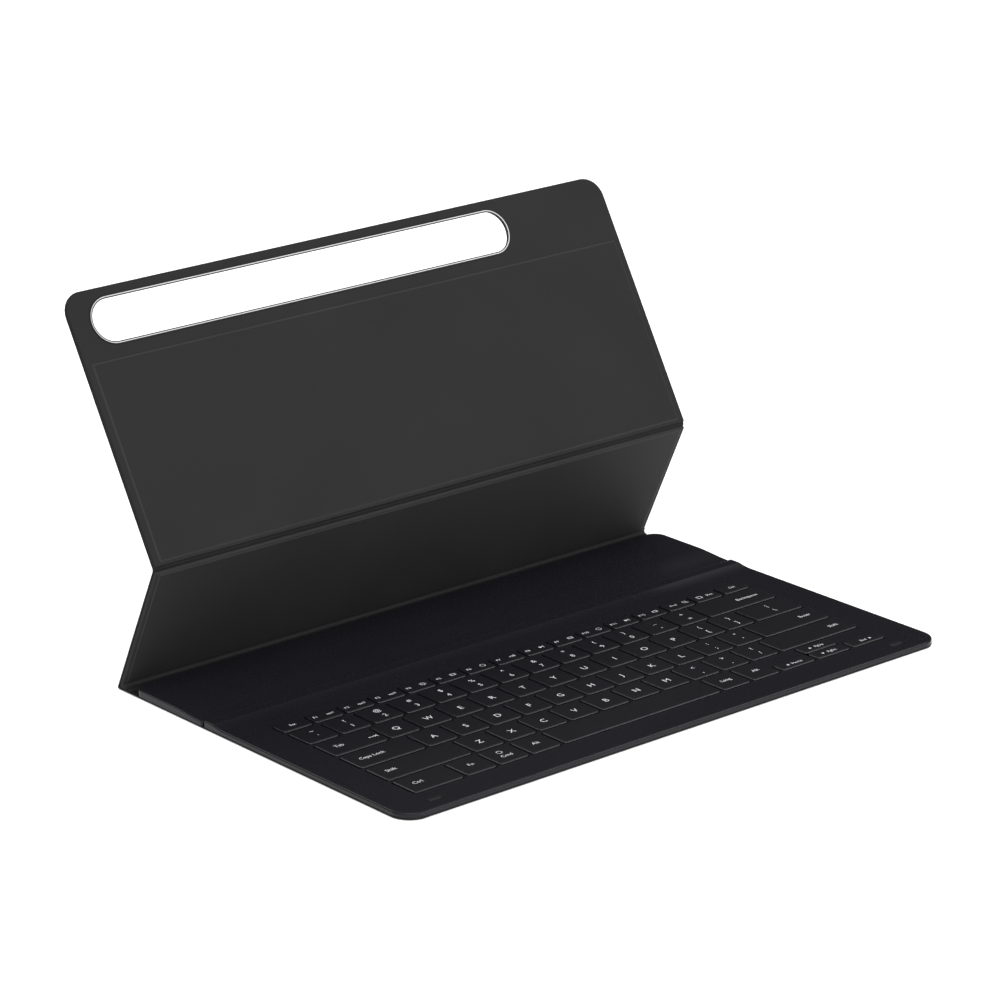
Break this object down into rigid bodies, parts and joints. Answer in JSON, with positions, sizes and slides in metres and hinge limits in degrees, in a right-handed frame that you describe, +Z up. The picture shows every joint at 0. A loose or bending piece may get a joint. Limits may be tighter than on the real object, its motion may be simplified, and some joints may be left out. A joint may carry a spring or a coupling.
{
  "type": "tablet keyboard case",
  "caption": "Folding tablet keyboard case, standing open: keyboard deck, rear plate behind a groove, short spine, leaning stand panel and a back panel with a long slot.",
  "frame": {"origin": "middle of the deck's underside, on the surface it stands on", "axes": "+X to the right along the longest side, +Y to the back, away from the person typing, +Z up"},
  "size_m": [0.328, 0.2495, 0.1843],
  "materials": {
    "skin": "fine grained soft skin",
    "lining": "smooth soft lining",
    "deck_plastic": "fine matte",
    "rim_plastic": "satin",
    "keycap": "matte, printed",
    "plate_metal": "plain sheet",
    "film": "black printed film",
    "board_resin": "solder mask",
    "dome_rubber": "soft",
    "bumper_rubber": "matte",
    "link_plastic": "plain",
    "steel": "plated",
    "gold_pin": "plated",
    "stiffener": "raw sheet"
  },
  "bodies": {
    "deck": {"deck_base_skin": "skin", "deck_base_plate": "plate_metal", "deck_frame": "deck_plastic", "key_membrane": "film", "rubber_domes": "dome_rubber", "scissor_outer_links": "link_plastic", "scissor_inner_links": "link_plastic", "stabilizer_wires": "steel", "control_board": "board_resin", "contact_block": "rim_plastic", "deck_magnets": "steel", "corner_bumpers": "bumper_rubber", "groove_crease": "skin"},
    "contact_pins": {"contact_pins": "gold_pin"},
    "rear_plate": {"rear_plate_skin": "skin", "rear_plate_board": "stiffener", "rear_plate_cover": "deck_plastic", "rear_plate_magnets": "steel", "rear_crease": "skin"},
    "spine": {"spine_skin": "skin", "spine_strip": "lining", "base_crease": "skin"},
    "stand_panel": {"stand_outer_skin": "skin", "stand_board": "stiffener", "stand_lining": "lining", "top_crease": "skin"},
    "back_panel": {"back_outer_skin": "skin", "back_board": "stiffener", "slot_board": "stiffener", "back_lining": "lining", "back_magnets": "steel", "slot_rim": "rim_plastic"},
    "key_esc": {"key_esc": "keycap"},
    "function_keys": {"function_keys": "keycap"},
    "key_search": {"key_search": "keycap"},
    "key_capture": {"key_capture": "keycap"},
    "key_delete": {"key_delete": "keycap"},
    "key_backquote": {"key_backquote": "keycap"},
    "number_keys": {"number_keys": "keycap"},
    "key_backspace": {"key_backspace": "keycap"},
    "key_tab": {"key_tab": "keycap"},
    "upper_letter_keys": {"upper_letter_keys": "keycap"},
    "key_backslash": {"key_backslash": "keycap"},
    "key_caps_lock": {"key_caps_lock": "keycap"},
    "home_letter_keys": {"home_letter_keys": "keycap"},
    "key_enter": {"key_enter": "keycap"},
    "key_shift_left": {"key_shift_left": "keycap"},
    "lower_letter_keys": {"lower_letter_keys": "keycap"},
    "key_shift_right": {"key_shift_right": "keycap"},
    "key_control": {"key_control": "keycap"},
    "key_function": {"key_function": "keycap"},
    "key_command": {"key_command": "keycap"},
    "key_alt_left": {"key_alt_left": "keycap"},
    "key_space": {"key_space": "keycap"},
    "key_language": {"key_language": "keycap"},
    "key_alt_right": {"key_alt_right": "keycap"},
    "key_arrow_left": {"key_arrow_left": "keycap"},
    "key_arrow_up": {"key_arrow_up": "keycap"},
    "key_arrow_down": {"key_arrow_down": "keycap"},
    "key_arrow_right": {"key_arrow_right": "keycap"}
  },
  "joints": [
    {"name": "groove_fold", "type": "hinge", "parent": "deck", "child": "rear_plate", "pos_m": [0, 0.0741, 0.0003], "axis": [1, 0, 0], "range_deg": [0, 8], "deforming": ["groove_crease"]},
    {"name": "spine_fold", "type": "hinge", "parent": "rear_plate", "child": "spine", "pos_m": [0, 0.1308, 0.0004], "axis": [1, 0, 0], "range_deg": [0, 64], "deforming": ["rear_crease"]},
    {"name": "stand_fold", "type": "hinge", "parent": "spine", "child": "stand_panel", "pos_m": [0, 0.1414, 0.0004], "axis": [1, 0, 0], "range_deg": [-116, 0], "deforming": ["base_crease"]},
    {"name": "back_fold", "type": "hinge", "parent": "stand_panel", "child": "back_panel", "pos_m": [0, 0.10867, 0.06721], "axis": [-1, 0, 0], "range_deg": [-56, 30], "deforming": ["top_crease"]},
    {"name": "contacts_press", "type": "slide", "parent": "deck", "child": "contact_pins", "axis": [0, -1, 0], "range_m": [0, 0.0006], "stiffness_N_per_m": 900},
    {"name": "press_esc", "type": "slide", "parent": "deck", "child": "key_esc", "axis": [0, 0, -1], "range_m": [0, 0.0009], "stiffness_N_per_m": 600},
    {"name": "press_function_keys", "type": "slide", "parent": "deck", "child": "function_keys", "axis": [0, 0, -1], "range_m": [0, 0.0009], "stiffness_N_per_m": 7200},
    {"name": "press_search", "type": "slide", "parent": "deck", "child": "key_search", "axis": [0, 0, -1], "range_m": [0, 0.0009], "stiffness_N_per_m": 600},
    {"name": "press_capture", "type": "slide", "parent": "deck", "child": "key_capture", "axis": [0, 0, -1], "range_m": [0, 0.0009], "stiffness_N_per_m": 600},
    {"name": "press_delete", "type": "slide", "parent": "deck", "child": "key_delete", "axis": [0, 0, -1], "range_m": [0, 0.0009], "stiffness_N_per_m": 600},
    {"name": "press_backquote", "type": "slide", "parent": "deck", "child": "key_backquote", "axis": [0, 0, -1], "range_m": [0, 0.0009], "stiffness_N_per_m": 600},
    {"name": "press_number_keys", "type": "slide", "parent": "deck", "child": "number_keys", "axis": [0, 0, -1], "range_m": [0, 0.0009], "stiffness_N_per_m": 7200},
    {"name": "press_backspace", "type": "slide", "parent": "deck", "child": "key_backspace", "axis": [0, 0, -1], "range_m": [0, 0.0009], "stiffness_N_per_m": 600},
    {"name": "press_tab", "type": "slide", "parent": "deck", "child": "key_tab", "axis": [0, 0, -1], "range_m": [0, 0.0009], "stiffness_N_per_m": 600},
    {"name": "press_upper_letter_keys", "type": "slide", "parent": "deck", "child": "upper_letter_keys", "axis": [0, 0, -1], "range_m": [0, 0.0009], "stiffness_N_per_m": 7200},
    {"name": "press_backslash", "type": "slide", "parent": "deck", "child": "key_backslash", "axis": [0, 0, -1], "range_m": [0, 0.0009], "stiffness_N_per_m": 600},
    {"name": "press_caps_lock", "type": "slide", "parent": "deck", "child": "key_caps_lock", "axis": [0, 0, -1], "range_m": [0, 0.0009], "stiffness_N_per_m": 600},
    {"name": "press_home_letter_keys", "type": "slide", "parent": "deck", "child": "home_letter_keys", "axis": [0, 0, -1], "range_m": [0, 0.0009], "stiffness_N_per_m": 6600},
    {"name": "press_enter", "type": "slide", "parent": "deck", "child": "key_enter", "axis": [0, 0, -1], "range_m": [0, 0.0009], "stiffness_N_per_m": 600},
    {"name": "press_shift_left", "type": "slide", "parent": "deck", "child": "key_shift_left", "axis": [0, 0, -1], "range_m": [0, 0.0009], "stiffness_N_per_m": 600},
    {"name": "press_lower_letter_keys", "type": "slide", "parent": "deck", "child": "lower_letter_keys", "axis": [0, 0, -1], "range_m": [0, 0.0009], "stiffness_N_per_m": 6000},
    {"name": "press_shift_right", "type": "slide", "parent": "deck", "child": "key_shift_right", "axis": [0, 0, -1], "range_m": [0, 0.0009], "stiffness_N_per_m": 600},
    {"name": "press_control", "type": "slide", "parent": "deck", "child": "key_control", "axis": [0, 0, -1], "range_m": [0, 0.0009], "stiffness_N_per_m": 600},
    {"name": "press_function", "type": "slide", "parent": "deck", "child": "key_function", "axis": [0, 0, -1], "range_m": [0, 0.0009], "stiffness_N_per_m": 600},
    {"name": "press_command", "type": "slide", "parent": "deck", "child": "key_command", "axis": [0, 0, -1], "range_m": [0, 0.0009], "stiffness_N_per_m": 600},
    {"name": "press_alt_left", "type": "slide", "parent": "deck", "child": "key_alt_left", "axis": [0, 0, -1], "range_m": [0, 0.0009], "stiffness_N_per_m": 600},
    {"name": "press_space", "type": "slide", "parent": "deck", "child": "key_space", "axis": [0, 0, -1], "range_m": [0, 0.0009], "stiffness_N_per_m": 600, "deforming": ["rubber_domes", "scissor_outer_links", "scissor_inner_links"]},
    {"name": "press_language", "type": "slide", "parent": "deck", "child": "key_language", "axis": [0, 0, -1], "range_m": [0, 0.0009], "stiffness_N_per_m": 600},
    {"name": "press_alt_right", "type": "slide", "parent": "deck", "child": "key_alt_right", "axis": [0, 0, -1], "range_m": [0, 0.0009], "stiffness_N_per_m": 600},
    {"name": "press_arrow_left", "type": "slide", "parent": "deck", "child": "key_arrow_left", "axis": [0, 0, -1], "range_m": [0, 0.0009], "stiffness_N_per_m": 600},
    {"name": "press_arrow_up", "type": "slide", "parent": "deck", "child": "key_arrow_up", "axis": [0, 0, -1], "range_m": [0, 0.0009], "stiffness_N_per_m": 600},
    {"name": "press_arrow_down", "type": "slide", "parent": "deck", "child": "key_arrow_down", "axis": [0, 0, -1], "range_m": [0, 0.0009], "stiffness_N_per_m": 600},
    {"name": "press_arrow_right", "type": "slide", "parent": "deck", "child": "key_arrow_right", "axis": [0, 0, -1], "range_m": [0, 0.0009], "stiffness_N_per_m": 600}
  ]
}
